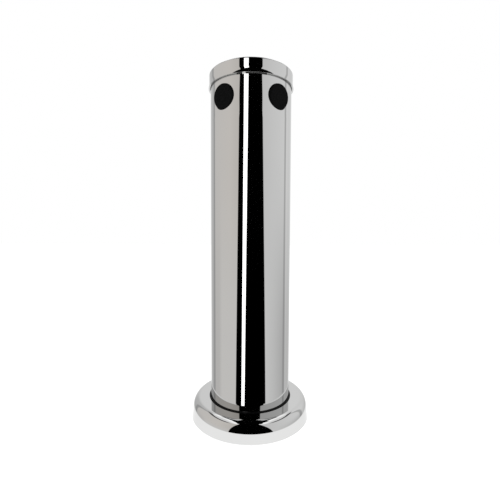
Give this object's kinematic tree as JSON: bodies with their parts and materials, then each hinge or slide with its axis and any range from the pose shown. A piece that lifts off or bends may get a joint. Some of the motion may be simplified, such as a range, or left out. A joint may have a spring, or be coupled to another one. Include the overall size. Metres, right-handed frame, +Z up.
{
  "type": "beer tap tower",
  "caption": "Chromed column beer tap tower with a flared pull-off cap, plugged tap holes, a rubber neck seal and a domed slip-over base cover.",
  "frame": {"origin": "centre of the column at the counter top, on the underside of the base", "axes": "+Z up along the column; -Y is the front, midway between the two tap holes; +X is to the right seen from the front"},
  "size_m": [0.1128, 0.1128, 0.323],
  "materials": {
    "column_chrome": "mirror polished",
    "cap_chrome": "mirror polished",
    "cover_chrome": "mirror polished",
    "black_rubber": "satin",
    "gasket_rubber": "matt",
    "plug_nylon": "finely grained",
    "insert_plastic": "as moulded",
    "band_plastic": "as extruded",
    "foot_steel": "zinc plated steel",
    "screw_steel": "plain stainless",
    "foam": "closed-cell foam"
  },
  "bodies": {
    "column": {"column_tube": "column_chrome", "counter_gasket": "gasket_rubber", "foot_plate": "foot_steel", "foot_spigot": "foot_steel", "foot_screw_1": "screw_steel", "foot_screw_2": "screw_steel", "foot_screw_3": "screw_steel", "foot_screw_4": "screw_steel", "insulation_left": "foam", "insulation_right": "foam", "insulation_band_1": "band_plastic", "insulation_band_2": "band_plastic", "insulation_band_3": "band_plastic"},
    "cover": {"base_cover": "cover_chrome", "cover_seal": "black_rubber"},
    "cap": {"top_cap": "cap_chrome", "cap_insert": "insert_plastic", "cap_ring": "black_rubber", "cap_pad": "foam"},
    "plug_left": {"hole_plug_left": "plug_nylon", "plug_ring_left": "black_rubber"},
    "plug_right": {"hole_plug_right": "plug_nylon", "plug_ring_right": "black_rubber"}
  },
  "joints": [
    {"name": "cap_lift", "type": "slide", "parent": "column", "child": "cap", "axis": [0, 0, 1], "range_m": [0, 0.06]},
    {"name": "cover_lift", "type": "slide", "parent": "column", "child": "cover", "axis": [0, 0, 1], "range_m": [0, 0.255]},
    {"name": "plug_left_pull", "type": "slide", "parent": "column", "child": "plug_left", "axis": [-0.6299, -0.7696, -0.1045], "range_m": [0, 0.03]},
    {"name": "plug_right_pull", "type": "slide", "parent": "column", "child": "plug_right", "axis": [0.6299, -0.7696, -0.1045], "range_m": [0, 0.03]}
  ]
}
